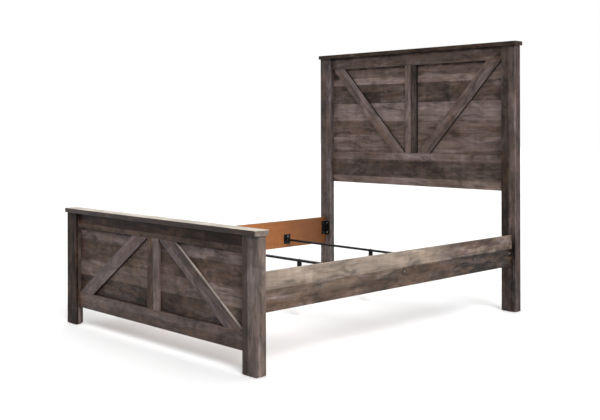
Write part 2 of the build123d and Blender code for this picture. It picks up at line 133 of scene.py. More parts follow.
# ---------------------------------------------------------------- weathered oak laminate
# The print's patterns: a patch's size along, across and through the board in mm, then detail,
# roughness and warp. Real pores, fibres and saw marks are about 0.3 mm wide; they are drawn 1.5 and
# 2.5 mm wide, so that they show from a few metres away.
PRINT = {
    "stain": ((260, 50, 50), 5.0, 0.60, 0.5),
    "haze": ((230, 52, 52), 5.0, 0.58, 0.4),
    "cloud": ((170, 55, 55), 5.0, 0.60, 0.6),
    "smoke": ((75, 42, 42), 6.0, 0.66, 0.9),
    "broad": ((550, 17, 17), 3.0, 0.60, 0.2),
    "fine": ((300, 7, 7), 4.0, 0.62, 0.0),
    "crossing": ((45, 300, 300), 1.5, 0.55, 0.0),
    "break": ((80, 20, 20), 4.0, 0.60, 0.0),
    "ring": ((1100, 150, 150), 1.0, 0.50, 0.15),
    "hair": ((180, 1.5, 1.5), 3.0, 0.60, 0.0),
    "pore": ((45, 1.5, 1.5), 2.0, 0.50, 0.0),
    "saw": ((2.5, 50, 50), 1.0, 0.50, 0.0),
    "wander": ((250, 9000, 9000), 2.0, 0.50, 0.0),
    "chip": ((22, 5, 5), 3.0, 0.60, 0.4),
    "fibre": ((4, 1.5, 1.5), 4.0, 0.50, 0.0),
}
RING_LINES = 11.0  # growth rings for each unit of the ring pattern
KNOT_CELL = (0.36, 0.24, 2.0)  # a place for one knot, in m along, across and through
KNOT_CHOSEN = (0.72, 0.74)  # a place has a knot if its random tone is above this
KNOT_HEART = (0.016, 0.045, 0.5, 0.0)  # from the heart to the rim of a knot, and its darkness
WANDER = 0.004  # how far a plank's edge strays, in m
SEAM = 0.0015  # the dark line between two planks, in m
SEAM_SHADE = 0.6
CROSS_FADE = 24  # the widest soft edge of a mark across the grain, in mm
TORN = (0.34, 0.58)  # the break pattern, where it tears a mark
TORN_SHARE = 0.45  # what is left of a mark there
PAST_THE_ENDS = 9.0  # a brace's ends butt against its neighbours, so they get neither wear nor painted highlight
RUBBED_AND_HIGHLIT = (0.0, 0.0022, 1.3, 1.0)  # m from an edge, and the light there: wear and a painted highlight
EMBOSSED = 0.4  # mm

# Spans: a pattern's value from and to, then what it gives from and to.
DARK_PLANK = (0.11, 0.045, 0.1, 1.0)  # a tone's brightness, and how dark its plank counts
HAZE_LEFT = (0.0, 1.0, 1.0, 0.3)  # that darkness, and how much of the haze is left
STAIN_SHARE = (0.46, 0.70, 0.0, 0.45)
HAZE_SHARE = (0.50, 0.70, 0.0, 0.42)
CLOUD_SHARE = (0.46, 0.28, 0.0, 0.50)
SMOKE_SHARE = (0.54, 0.36, 0.0, 0.60)
SATIN = (0.30, 0.60, 0.56, 0.40)
RAW_MIX = (0.7, 1.3)
CHIP_LIGHT = (0.32, 0.68, 0.84, 1.14)
LIGHT = {
    "fine": (0.28, 0.72, 0.92, 1.08),
    "broad": (0.30, 0.70, 0.87, 1.13),
    "cloud": (0.34, 0.68, 0.76, 1.28),
    "crossing": (0.34, 0.66, 0.91, 1.08),
    "hair": (0.30, 0.70, 0.89, 1.11),
    "pore": (0.30, 0.48, 0.76, 1.0),
    "ring line": (0.0, 0.16, 0.92, 1.0),
    "saw": (0.30, 0.70, 0.975, 1.025),
    "facing up": (-0.4, -0.8, 1.0, 0.45),  # painted shade: faces that look down are drawn darker
}

UMBER = "#5A3F2C"
ASH = "#9A8C8C"
SOOT = "#17110F"
RAW_DARK = "#83502B"
RAW_LIGHT = "#965E34"
RAW_LIGHT_AND_SHADE_ALONG_RAIL = (0.2, 1.0, 1.45, 0.55)  # painted light and shade: the raw face grows darker towards the headboard
RAW_TONE_ELSEWHERE = 0.85


def plank_stops(planks):
    """Ramp stops for plank tones: flat tones that meet in a narrow dark seam."""
    bottom, top = planks[0][0] * MM, planks[-1][0] * MM
    gap = SEAM / (top - bottom)
    stops = []
    for (low, _), (high, code) in zip(planks, planks[1:]):
        start, end = ((edge * MM - bottom) / (top - bottom) for edge in (low, high))
        colour = linear(code)
        if stops:
            stops += [(start, tuple(SEAM_SHADE * c for c in colour[:3]) + (1.0,)), (start + gap, colour)]
        else:
            stops.append((0.0, colour))
        stops.append((end - gap if end < 1 else 1.0, colour))
    return stops


def oak(node, grain, across, planks, marks=(), tilt=0.0, seed=0.0, edge=None, raw=None, sheen=0.25):
    """Weathered oak laminate for one board: a printed paper under satin melamine, pressed with the
    grain. The eye gets plank tones, brown stain, grey haze, soot, streaks, growth rings, knots and
    saw marks, edges lightened by wear and by a painted highlight, and painted shade on the faces that
    look down. planks are the lower edge with no tone, then (upper edge in mm, tone) for each plank
    across the board. marks are ((from, to) along, (from, to) across, tone, strength, softness), in mm;
    some of them are painted shade and painted shadow. tilt turns the grain about Y, round the board's
    middle. edge is (axis, start, full, tone), the tone of the faces that look another way: it comes in
    as a face's normal goes from start to full along the axis; on some boards it holds painted shade
    and on others a painted highlight, as well as the edging's colour. raw is (axis, place in mm, side)
    of bare board; along a rail it has painted light and shade, darker towards the headboard. sheen is
    the shader's specular level."""
    low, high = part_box(node)
    middle, half = (low + high) / 2, (high - low) / 2
    material, tree, place, facing = new_material("weathered_oak_" + node)
    centred = add(tree, "VectorMath", (place, tuple(middle)), operation="SUBTRACT")
    turned = add(tree, "VectorRotate", {"Vector": centred, "Angle": tilt}, rotation_type="Y_AXIS")
    split = add(tree, "SeparateXYZ", (turned if tilt else place,)).outputs
    through = ({"x", "y", "z"} - {grain, across}).pop()
    wide = split[AXES[across]]
    board = add(tree, "CombineXYZ", (split[AXES[grain]], wide, split[AXES[through]]))
    of = patterns(tree, board, PRINT, seed)

    # plank tones, with edges that wander a little along the grain
    bottom, top = planks[0][0] * MM, planks[-1][0] * MM
    wandering = add(tree, "Math", (of["wander"], WANDER, wide), operation="MULTIPLY_ADD")
    share = add(tree, "MapRange", (wandering, bottom + WANDER / 2, top + WANDER / 2))
    tone = add(tree, "ValToRGB", (share,), plank_stops(planks))

    # darker and lighter lengths, cut off where one printed plank ends; some are painted shade and painted
    # shadow
    for (start, end), (lower, upper), code, strength, soft in marks:
        centre = ((start + end) / 2 * MM, (lower + upper) / 2 * MM, 0)
        reach = np.array([(end - start) / 2, (upper - lower) / 2, 0]) * MM
        fade = np.array([soft, min(soft, CROSS_FADE), 0]) / 2 * MM
        away = add(tree, "VectorMath", (board, centre), operation="SUBTRACT")
        away = add(tree, "VectorMath", (away,), operation="ABSOLUTE")
        inside = add(tree, "MapRange", {
            "Vector": away, "From Min": tuple(reach + fade), "From Max": tuple(reach - fade + (0, 0, 1)),
            "To Min": (0, 0, 0), "To Max": (1, 1, 1)}, data_type="FLOAT_VECTOR")
        shares = add(tree, "SeparateXYZ", (inside,)).outputs
        within = add(tree, "Math", (shares[0], shares[1]), operation="MULTIPLY")
        kept = add(tree, "MapRange", (of["break"], *TORN, TORN_SHARE * strength, strength), **EASED)
        factor = add(tree, "Math", (within, kept), operation="MULTIPLY")
        tone = add(tree, "Mix", (factor, tone, linear(code)), data_type="RGBA")

    # brown stain, grey haze and soot, in clouds that lie along the grain; smoke on dark planks only
    darkness = add(tree, "MapRange", (add(tree, "RGBToBW", (tone,)), *DARK_PLANK), **EASED)
    paleness = add(tree, "MapRange", (darkness, *HAZE_LEFT))
    haze = add(tree, "MapRange", (of["haze"], *HAZE_SHARE), **EASED)
    smoke = add(tree, "MapRange", (of["smoke"], *SMOKE_SHARE), **EASED)
    for factor, code in (
        (add(tree, "MapRange", (of["stain"], *STAIN_SHARE), **EASED), UMBER),
        (add(tree, "Math", (haze, paleness), operation="MULTIPLY"), ASH),
        (add(tree, "MapRange", (of["cloud"], *CLOUD_SHARE), **EASED), SOOT),
        (add(tree, "Math", (smoke, darkness), operation="MULTIPLY"), SOOT),
    ):
        tone = add(tree, "Mix", (factor, tone, linear(code)), data_type="RGBA")

    # streaks, pores, growth rings, stains across the grain, the saw's marks and the shaded underside
    rings = add(tree, "Math", (of["ring"], RING_LINES), operation="MULTIPLY")
    ring = add(tree, "Math", (rings, 0.5), operation="PINGPONG")
    sources = of | {"ring line": ring, "facing up": facing[2]}
    light = 1.0
    for name, span in LIGHT.items():
        factor = add(tree, "MapRange", (sources[name], *span), **EASED)
        light = add(tree, "Math", (light, factor), operation="MULTIPLY")

    # knots, sparse and longer than they are wide
    offset = tuple(seed * step for step in KNOT_STEPS)
    knot_place = add(tree, "Mapping", {
        "Vector": board, "Location": offset, "Scale": tuple(1 / s for s in KNOT_CELL)})
    knot = add(tree, "TexVoronoi", {"Vector": knot_place, "Scale": 1.0})
    chosen = add(tree, "MapRange", (add(tree, "SeparateColor", (knot.outputs["Color"],)), *KNOT_CHOSEN))
    heart = add(tree, "MapRange", (knot, *KNOT_HEART), **EASED)
    dark = add(tree, "Math", (heart, chosen), operation="MULTIPLY")
    dark = add(tree, "Math", (1.0, dark), operation="SUBTRACT")
    light = add(tree, "Math", (light, dark), operation="MULTIPLY")

    # edges lightened by wear and by a painted highlight: how far a point is from its second nearest side
    room = (PAST_THE_ENDS, half.y, planks[-1][0] * MM) if tilt else tuple(half)
    sides = add(tree, "VectorMath", (turned if tilt else centred,), operation="ABSOLUTE")
    sides = add(tree, "VectorMath", (room, sides), operation="SUBTRACT")
    sides = add(tree, "SeparateXYZ", (sides,)).outputs
    lesser = add(tree, "Math", (sides[0], sides[1]), operation="MINIMUM")
    greater = add(tree, "Math", (sides[0], sides[1]), operation="MAXIMUM")
    second = add(tree, "Math", (greater, sides[2]), operation="MINIMUM")
    second = add(tree, "Math", (lesser, second), operation="MAXIMUM")
    rubbed_and_highlit = add(tree, "MapRange", (second, *RUBBED_AND_HIGHLIT), **EASED)
    light = add(tree, "Math", (light, rubbed_and_highlit), operation="MULTIPLY")
    colour = add(tree, "VectorMath", {0: tone, 1: light}, operation="SCALE")

    # the tone of the faces that look another way: the edging's colour, with painted shade and painted
    # highlights on some boards
    if edge:
        axis, start, full, code = edge
        edging_and_painted_light = add(tree, "VectorMath", {0: linear(code)[:3], 1: light}, operation="SCALE")
        on_edge = add(tree, "MapRange", (facing[AXES[axis]], start, full), **EASED)
        colour = add(tree, "Mix", (on_edge, colour, edging_and_painted_light), data_type="RGBA")
    if raw:
        axis, limit, side = raw
        speckled = add(tree, "Math", (of["haze"], of["fibre"]), operation="ADD")
        patchy = add(tree, "MapRange", (speckled, *RAW_MIX), **EASED)
        bare = add(tree, "Mix", (patchy, linear(RAW_DARK), linear(RAW_LIGHT)), data_type="RGBA")
        length = add(tree, "SeparateXYZ", (place,)).outputs
        # painted light and shade along a rail's raw face, darker towards the headboard
        raw_shade_and_chips = RAW_TONE_ELSEWHERE
        if grain == "y":
            raw_shade_and_chips = add(tree, "MapRange", (length[1], *RAW_LIGHT_AND_SHADE_ALONG_RAIL), **EASED)
        chips = add(tree, "MapRange", (of["chip"], *CHIP_LIGHT), **EASED)
        raw_shade_and_chips = add(tree, "Math", (raw_shade_and_chips, chips), operation="MULTIPLY")
        bare = add(tree, "VectorMath", {0: bare, 1: raw_shade_and_chips}, operation="SCALE")
        beyond = "GREATER_THAN" if side > 0 else "LESS_THAN"
        is_raw = add(tree, "Math", (length[AXES[axis]], limit * MM), operation=beyond)
        colour = add(tree, "Mix", (is_raw, colour, bare), data_type="RGBA")

    height = add(tree, "Math", (of["pore"], of["hair"]), operation="ADD")
    satin = add(tree, "MapRange", (of["pore"], *SATIN), **EASED)
    coat(tree, height, 0.4, EMBOSSED, {
        "Base Color": colour, "Roughness": satin, "IOR": 1.5, "Specular IOR Level": sheen})
    return material


# ---------------------------------------------------------------- the boards
HEAD_BRACE = math.radians(46.78)
FOOT_BRACE = math.radians(34.85)
SIDES = ("y", -0.6, -0.4)  # every face but the front has a tone of its own, which on the braces and the headboard's stile holds painted shade and painted highlights
UPWARD = ("z", 0.4, 0.6)  # the top face has a tone of its own; on the foot cap it is a painted reflection
HEAD_SHADOW = "#171210"  # painted shade: the dark line where a cap or a rail throws its shadow
FOOT_SHADOW = "#120E0C"

BOARDS = {
    "headboard_cap": dict(
        grain="x", across="z", sheen=0.1, planks=[(1628, ""), (1653, "#3D322B")]),
    "headboard_panel": dict(
        grain="x", across="z", raw=("y", 1076.5, 1), sheen=0.15,
        planks=[(900, ""), (1059, "#6E5E58"), (1172, "#66564F"), (1297, "#7C6D69"), (1428, "#51443E"),
                (1475, "#82706A"), (1600, "#62534D")],
        marks=[
            ((-427, -277), (1300, 1372), "#241D1A", 0.85, 14),
            ((-277, -52), (1300, 1366), "#5A4E4A", 0.7, 16),
            ((262, 312), (1300, 1425), "#2E2724", 0.7, 30),
            ((312, 425), (1345, 1420), "#5C4A3E", 0.6, 20),
            ((520, 760), (1300, 1425), "#65554F", 0.8, 60),
            ((-620, -300), (1070, 1172), "#5A493F", 0.7, 60),
            ((420, 740), (1059, 1172), "#6F605A", 0.8, 90),
            ((450, 730), (1000, 1045), "#77696A", 0.5, 60),
            ((-760, 760), (1535, 1552), HEAD_SHADOW, 1.0, 8)]),
    "headboard_top_rail": dict(
        grain="x", across="z", sheen=0.15, planks=[(1547, ""), (1572, "#5C5049"), (1628, "#5F524C")],
        marks=[
            ((-760, 760), (1616, 1640), HEAD_SHADOW, 1.0, 14)]),
    "headboard_bottom_rail": dict(
        grain="x", across="z", planks=[(733, ""), (784, "#7B6A63"), (903, "#4D3F38"), (951, "#675650")],
        marks=[
            ((-60, 260), (905, 951), "#7E716F", 0.7, 160),
            ((-60, 120), (733, 783), "#85787A", 0.6, 120),
            ((120, 230), (790, 900), "#332A26", 0.6, 40),
            ((-740, -330), (733, 784), "#6A5A52", 0.8, 120),
            ((260, 740), (733, 784), "#87776F", 0.9, 120),
            ((-740, -330), (784, 903), "#44372F", 0.8, 120),
            ((280, 740), (784, 903), "#564943", 0.9, 120),
            ((-740, -330), (903, 951), "#5C4B43", 0.8, 120),
            ((300, 740), (903, 951), "#72635E", 0.9, 120)]),
    # painted shade: the stile's and the braces' sides are drawn near black
    "headboard_stile": dict(
        grain="z", across="x", edge=(*SIDES, "#14100E"),
        planks=[(-49, ""), (2, "#675853"), (49, "#372C26")]),
    "headboard_brace_left": dict(
        grain="x", across="z", tilt=-HEAD_BRACE, edge=(*SIDES, "#14100E"),
        planks=[(-39, ""), (6, "#5F504B"), (39, "#6B5D5A")]),
    "headboard_brace_right": dict(
        grain="x", across="z", tilt=HEAD_BRACE, edge=(*SIDES, "#14100E"),
        planks=[(-39, ""), (-4, "#584946"), (39, "#62514B")]),
    "headboard_post_front_left": dict(
        grain="z", across="x", raw=("y", 1034.0, 1),
        planks=[(-827, ""), (-772, "#534741"), (-742, "#594C4A"), (-730, "#57504F")],
        marks=[
            ((1618, 1640), (-840, -720), HEAD_SHADOW, 0.9, 10)]),
    "headboard_post_side_left": dict(
        grain="z", across="y", raw=("x", -812.5, 1), planks=[(1019, ""), (1081, "#5E524F")]),
    "headboard_post_return_left": dict(
        grain="z", across="y", raw=("x", -744.5, -1), planks=[(1019, ""), (1081, "#4A4241")]),
    "headboard_post_front_right": dict(
        grain="z", across="x", raw=("y", 1034.0, 1),
        planks=[(730, ""), (782, "#483C36"), (827, "#5A4D48")],
        marks=[
            ((-200, 1250), (722, 782), "#1A1514", 0.85, 500),
            # painted shade: darker towards the floor
            ((-200, 480), (782, 835), "#120A07", 1.0, 120),
            ((1618, 1640), (720, 840), HEAD_SHADOW, 0.9, 10)]),
    "headboard_post_side_right": dict(
        grain="z", across="y", raw=("x", 812.5, -1), planks=[(1019, ""), (1081, "#4E3C3B")],
        marks=[
            # painted shade: darker towards the floor
            ((-200, 470), (1010, 1090), "#1C100C", 0.75, 120),
            ((900, 1150), (1010, 1090), "#4A3F3B", 0.6, 120)]),
    "headboard_post_return_right": dict(
        grain="z", across="y", raw=("x", 744.5, 1), planks=[(1019, ""), (1081, "#4A403B")]),
    "footboard_cap": dict(
        # painted reflection: the top face is drawn pale
        grain="x", across="z", sheen=0.3, edge=(*UPWARD, "#B4A99B"), planks=[(640, ""), (665, "#2E1F18")],
        marks=[
            ((829, 850), (630, 675), "#7A6D63", 1.0, 2)]),
    "footboard_panel": dict(
        grain="x", across="z", raw=("y", -1030.5, 1), sheen=0.1,
        planks=[(102, ""), (290, "#3B2F29"), (384, "#5D4E48"), (490, "#514037"), (600, "#5D4F4B")],
        marks=[
            ((-300, -60), (200, 290), "#291D1B", 0.5, 120),
            ((430, 640), (230, 380), "#A39087", 0.5, 90),
            ((-240, -60), (185, 250), "#140D0B", 0.7, 40),
            ((200, 420), (185, 290), "#4C3D36", 0.6, 80),
            ((-740, -430), (384, 490), "#43342C", 0.8, 80),
            ((-190, 190), (384, 490), "#5C4A41", 0.9, 80),
            ((-760, 760), (546, 563), HEAD_SHADOW, 1.0, 8)]),
    "footboard_top_rail": dict(
        # painted shadow: the upper plank's dark tone stands for the cap's shadow
        grain="x", across="z", sheen=0.1, planks=[(558, ""), (584, "#483931"), (640, "#271812")],
        marks=[
            ((-760, 760), (626, 650), FOOT_SHADOW, 1.0, 16)]),
    "footboard_bottom_rail": dict(
        grain="x", across="z", planks=[(102, ""), (146, "#4B382F"), (189, "#53443F")]),
    "footboard_stile": dict(
        grain="z", across="x", sheen=0.1, planks=[(-49, ""), (4, "#554237"), (49, "#6B5D59")]),
    # painted shade: the brace's sides are drawn dark
    "footboard_brace_left": dict(
        grain="x", across="z", tilt=FOOT_BRACE, edge=(*SIDES, "#2B2421"),
        planks=[(-39, ""), (39, "#584848")]),
    # painted highlight: the brace's sides are drawn pale
    "footboard_brace_right": dict(
        grain="x", across="z", tilt=-FOOT_BRACE, edge=(*SIDES, "#A39A92"),
        planks=[(-39, ""), (-2, "#554746"), (39, "#453530")]),
    "footboard_post_front_left": dict(
        grain="z", across="x", sheen=0.05, planks=[(-827, ""), (-760, "#2E2522"), (-730, "#2A221E")],
        marks=[
            ((628, 650), (-840, -720), FOOT_SHADOW, 0.9, 12)]),
    "footboard_post_side_left": dict(
        grain="z", across="y", planks=[(-1081, ""), (-1019, "#5E524C")]),
    "footboard_post_return_left": dict(
        grain="z", across="y", planks=[(-1081, ""), (-1019, "#504540")]),
    "footboard_post_back_left": dict(
        grain="z", across="x", planks=[(-827, ""), (-730, "#554A44")]),
    "footboard_post_front_right": dict(
        grain="z", across="x", planks=[(730, ""), (768, "#33251F"), (827, "#584C48")],
        marks=[
            ((628, 650), (720, 840), FOOT_SHADOW, 0.9, 12)]),
    "footboard_post_side_right": dict(
        grain="z", across="y", planks=[(-1081, ""), (-1019, "#76665E")],
        marks=[
            # painted shade: darker low on the post
            ((110, 420), (-1090, -1010), "#50463E", 0.7, 200)]),
    "footboard_post_return_right": dict(
        grain="z", across="y", planks=[(-1081, ""), (-1019, "#504540")]),
    "footboard_post_back_right": dict(
        grain="z", across="x", planks=[(730, ""), (827, "#5C504A")]),
    "side_rail_left": dict(
        grain="y", across="z", raw=("x", -786.0, 1),
        planks=[(281, ""), (380, "#564A42"), (468, "#84766B")]),
    "side_rail_right": dict(
        grain="y", across="z", raw=("x", 786.0, -1),
        planks=[(281, ""), (384, "#5D4A3D"), (468, "#968779")],
        marks=[
            ((330, 1200), (392, 480), "#513B32", 0.9, 420),
            ((-25, 480), (336, 386), "#533D2B", 0.8, 12),
            ((440, 1200), (270, 392), "#120703", 1.0, 160),
            ((-1100, -30), (336, 398), "#6E5F53", 0.75, 40),
            ((-430, -25), (270, 340), "#433328", 0.6, 60)]),
}
for i, (node, spec) in enumerate(BOARDS.items()):
    dress(node, oak(node, seed=1.0 + i, **spec))


# ---------------------------------------------------------------- hardware finishes


def powder_coat():
    """Steel, sprayed with black polyester powder and baked. The eye gets a deep black satin skin with
    orange peel, slightly uneven gloss, and a thin film of dust on the faces that look up. Real orange
    peel is about 0.8 mm from crest to crest; it is drawn 2 mm, so that it shows."""
    made, tree, place, facing = new_material("black_powder_coated_steel")
    of = patterns(tree, place, {
        "peel": ((2.0, 2.0, 2.0), 1.0, 0.5, 0.0),
        "grain": ((0.6, 0.6, 0.6), 2.0, 0.5, 0.0),
        "dust": ((18, 18, 18), 4.0, 0.65, 0.3),
    })
    black = add(tree, "Mix", (of["grain"], linear("#050505"), linear("#0D0D0E")), data_type="RGBA")
    upward = add(tree, "MapRange", (facing[2], 0.5, 0.9), **EASED)
    settled = add(tree, "MapRange", (of["dust"], 0.40, 0.70, 0.01, 0.07), **EASED)
    film = add(tree, "Math", (upward, settled), operation="MULTIPLY")
    colour = add(tree, "Mix", (film, black, linear("#6A6560")), data_type="RGBA")
    gloss = add(tree, "MapRange", (of["peel"], 0.3, 0.7, 0.42, 0.55), **EASED)
    coat(tree, of["peel"], 0.35, 0.2, {
        "Base Color": colour, "Roughness": gloss, "IOR": 1.5, "Specular IOR Level": 0.2})
    return made


def black_zinc():
    """Steel, zinc plated and black passivated. The eye gets a dark, fairly bright metal whose film
    drifts from blue-grey to straw, with fine scuffs from tumbling in the plating barrel. Real scuffs
    are about 0.1 mm wide; they are drawn 0.5 mm, so that they show."""
    made, tree, place, _ = new_material("black_zinc_plated_steel")
    of = patterns(tree, place, {
        "film": ((5.0, 5.0, 5.0), 2.0, 0.5, 0.4),
        "scuff": ((0.5, 3.0, 0.5), 3.0, 0.6, 1.0),
    })
    drift = add(tree, "ValToRGB", (of["film"],), (
        (0.35, linear("#5A5B5F")), (0.50, linear("#69696B")), (0.65, linear("#736D63"))))
    polish = add(tree, "MapRange", (of["scuff"], 0.35, 0.65, 0.20, 0.34), **EASED)
    coat(tree, of["scuff"], 0.2, 0.08, {"Base Color": drift, "Metallic": 1.0, "Roughness": polish})
    return made


def phosphate():
    """Hardened steel screws, phosphated and oiled. The eye gets a matt grey-black crystalline skin,
    darker and a little glossier where the oil has pooled. Real crystals are 0.02 mm; they are drawn
    0.4 mm, so that they show."""
    made, tree, place, _ = new_material("black_phosphated_screw")
    of = patterns(tree, place, {
        "crystal": ((0.4, 0.4, 0.4), 2.0, 0.6, 0.0),
        "oil": ((4.0, 4.0, 4.0), 3.0, 0.55, 0.5),
    })
    skin_tone = add(tree, "Mix", (of["crystal"], linear("#12110F"), linear("#2B2A27")), data_type="RGBA")
    pooled = add(tree, "MapRange", (of["oil"], 0.45, 0.62, 0.0, 0.6), **EASED)
    colour = add(tree, "Mix", (pooled, skin_tone, linear("#0E0D0B")), data_type="RGBA")
    gloss = add(tree, "MapRange", (of["oil"], 0.45, 0.62, 0.66, 0.42), **EASED)
    coat(tree, of["crystal"], 0.3, 0.1, {
        "Base Color": colour, "Roughness": gloss, "IOR": 1.5, "Specular IOR Level": 0.5})
    return made


def bright_zinc():
    """Zinc alloy inserts, cast and left bright. The eye gets a pale bluish metal with a soft cast skin,
    flow marks and dull spots of white oxide. The real skin's grain is about 0.3 mm; it is drawn
    0.7 mm, so that it shows."""
    made, tree, place, _ = new_material("cast_zinc_insert")
    of = patterns(tree, place, {
        "skin": ((0.7, 0.7, 0.7), 2.0, 0.55, 0.0),
        "flow": ((2.0, 2.0, 9.0), 3.0, 0.55, 0.6),
    })
    colour = add(tree, "Mix", (of["flow"], linear("#8F9294"), linear("#BCBFBF")), data_type="RGBA")
    dull = add(tree, "MapRange", (of["flow"], 0.35, 0.65, 0.30, 0.52), **EASED)
    coat(tree, of["skin"], 0.3, 0.1, {"Base Color": colour, "Metallic": 1.0, "Roughness": dull})
    return made


def moulded_polythene():
    """Black polyethylene, injection moulded. The eye gets a soft black with a spark-eroded grain, faint
    flow lines and grey scuffs. The real grain is 0.2 mm; it is drawn 0.8 mm, so that it shows."""
    made, tree, place, _ = new_material("moulded_black_polyethylene")
    of = patterns(tree, place, {
        "spark": ((0.8, 0.8, 0.8), 2.0, 0.5, 0.0),
        "flow": ((14, 5.0, 5.0), 3.0, 0.55, 0.8),
        "scuff": ((1.0, 12, 12), 4.0, 0.7, 0.2),
    })
    colour = add(tree, "Mix", (of["flow"], linear("#0C0C0D"), linear("#17171A")), data_type="RGBA")
    scuffed = add(tree, "MapRange", (of["scuff"], 0.60, 0.72, 0.0, 0.30), **EASED)
    colour = add(tree, "Mix", (scuffed, colour, linear("#3A3A3C")), data_type="RGBA")
    gloss = add(tree, "MapRange", (of["spark"], 0.3, 0.7, 0.44, 0.60), **EASED)
    coat(tree, of["spark"], 0.4, 0.1, {
        "Base Color": colour, "Roughness": gloss, "IOR": 1.51, "Specular IOR Level": 0.5})
    return made


def turned_beech():
    """Beech dowel, turned with its grain upright and fluted. The eye gets a pale pinkish brown with short
    dark ray flecks and faint growth bands. Real flecks are about 0.2 mm wide; they are drawn 0.5 mm,
    so that they show."""
    made, tree, place, _ = new_material("turned_beech_dowel")
    of = patterns(tree, place, {
        "fleck": ((0.5, 0.5, 3.0), 2.0, 0.5, 0.0),
        "band": ((2.5, 2.5, 60), 2.0, 0.5, 0.2),
    })
    colour = add(tree, "Mix", (of["band"], linear("#BE9468"), linear("#DDB78E")), data_type="RGBA")
    flecked = add(tree, "MapRange", (of["fleck"], 0.56, 0.68, 0.0, 0.55), **EASED)
    colour = add(tree, "Mix", (flecked, colour, linear("#8F6440")), data_type="RGBA")
    smooth = add(tree, "MapRange", (of["fleck"], 0.4, 0.7, 0.50, 0.64), **EASED)
    coat(tree, of["fleck"], 0.3, 0.2, {
        "Base Color": colour, "Roughness": smooth, "IOR": 1.5, "Specular IOR Level": 0.3})
    return made


def sawn_softwood():
    """Spruce blocks, sawn with their grain upright. The eye gets cream early wood between tan late-wood
    lines about 4 mm apart, resin streaks and a furry band-sawn face."""
    made, tree, place, _ = new_material("sawn_spruce_block")
    of = patterns(tree, place, {
        "growth": ((60, 60, 900), 1.0, 0.5, 0.3),
        "resin": ((3.0, 3.0, 70), 3.0, 0.6, 0.0),
        "fur": ((6.0, 6.0, 1.2), 2.0, 0.6, 0.0),
    })
    lines = add(tree, "Math", (of["growth"], 16.0), operation="MULTIPLY")
    line = add(tree, "Math", (lines, 0.5), operation="PINGPONG")
    late = add(tree, "MapRange", (line, 0.30, 0.50, 0.0, 0.75), **EASED)
    colour = add(tree, "Mix", (late, linear("#DCC193"), linear("#B08450")), data_type="RGBA")
    streak = add(tree, "MapRange", (of["resin"], 0.62, 0.74, 0.0, 0.5), **EASED)
    colour = add(tree, "Mix", (streak, colour, linear("#9A6E3C")), data_type="RGBA")
    rough = add(tree, "MapRange", (of["fur"], 0.3, 0.7, 0.58, 0.76), **EASED)
    coat(tree, of["fur"], 0.5, 0.4, {
        "Base Color": colour, "Roughness": rough, "IOR": 1.5, "Specular IOR Level": 0.3})
    return made


FINISHES = {
    "black_powder_coated_steel": powder_coat(),
    "black_zinc_hardware": black_zinc(),
    "black_phosphate_screw": phosphate(),
    "zinc_insert": bright_zinc(),
    "black_moulded_plastic": moulded_polythene(),
    "beech_dowel": turned_beech(),
    "softwood_block": sawn_softwood(),
}
for row in frame["record"]["subparts"]:
    if row["material_slot"] in FINISHES:
        dress(row["node"], FINISHES[row["material_slot"]])


# ---------------------------------------------------------------- threads and welds


def skin(name, rings, sharp, body, slot):
    """A closed skin over rings of points that all go round the same way. Quads join each ring to the
    next, and a fan of triangles closes each end on that ring's middle point."""
    count, around = rings.shape[:2]
    places = np.vstack([rings.reshape(-1, 3), rings[0].mean(axis=0), rings[-1].mean(axis=0)])
    turn = np.arange(around)
    here = np.arange(count)[:, None] * around + turn
    beside = np.roll(here, -1, axis=1)
    quads = np.stack([here[:-1], beside[:-1], beside[1:], here[1:]], axis=-1).reshape(-1, 4)
    first = np.stack([turn * 0 + count * around, beside[0], here[0]], axis=-1)
    last = np.stack([turn * 0 + count * around + 1, here[-1], beside[-1]], axis=-1)
    mesh = bpy.data.meshes.new(name)
    mesh.from_pydata(places.tolist(), [], quads.tolist() + first.tolist() + last.tolist())
    mesh.shade_smooth()
    mesh.set_sharp_from_angle(angle=math.radians(sharp))
    mesh.materials.append(FINISHES[slot])
    piece = bpy.data.objects.new(name, mesh)
    SCENE.collection.objects.link(piece)
    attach(piece, body)
    return piece


# an M10 stud, 1.5 mm pitch, on a round pad with finger notches
PITCH = 1.5
THREAD_STEPS = 6
THREAD_DEPTH = 0.75
STUD_RADIUS = 5.0
NOTCHES = 16
STEPS_A_NOTCH = 4
NOTCH_DEPTH = 0.9
PAD = np.array([  # (radius, height above the floor side, share of the notch)
    (15.0, 0.0, 0.0), (17.6, 0.0, 0.0), (18.6, 0.4, 0.6), (19.0, 1.2, 1.0), (19.0, 3.4, 1.0),
    (18.5, 4.1, 0.8), (17.0, 4.9, 0.2), (9.6, 9.5, 0.0), (8.6, 9.9, 0.0), (5.6, 10.0, 0.0)])
THREAD_LOW, THREAD_HIGH = 10.6, 123.4
TIP_RADIUS, TIP_ROOM = 3.6, 0.3
THREAD_CREASE = 40  # degrees


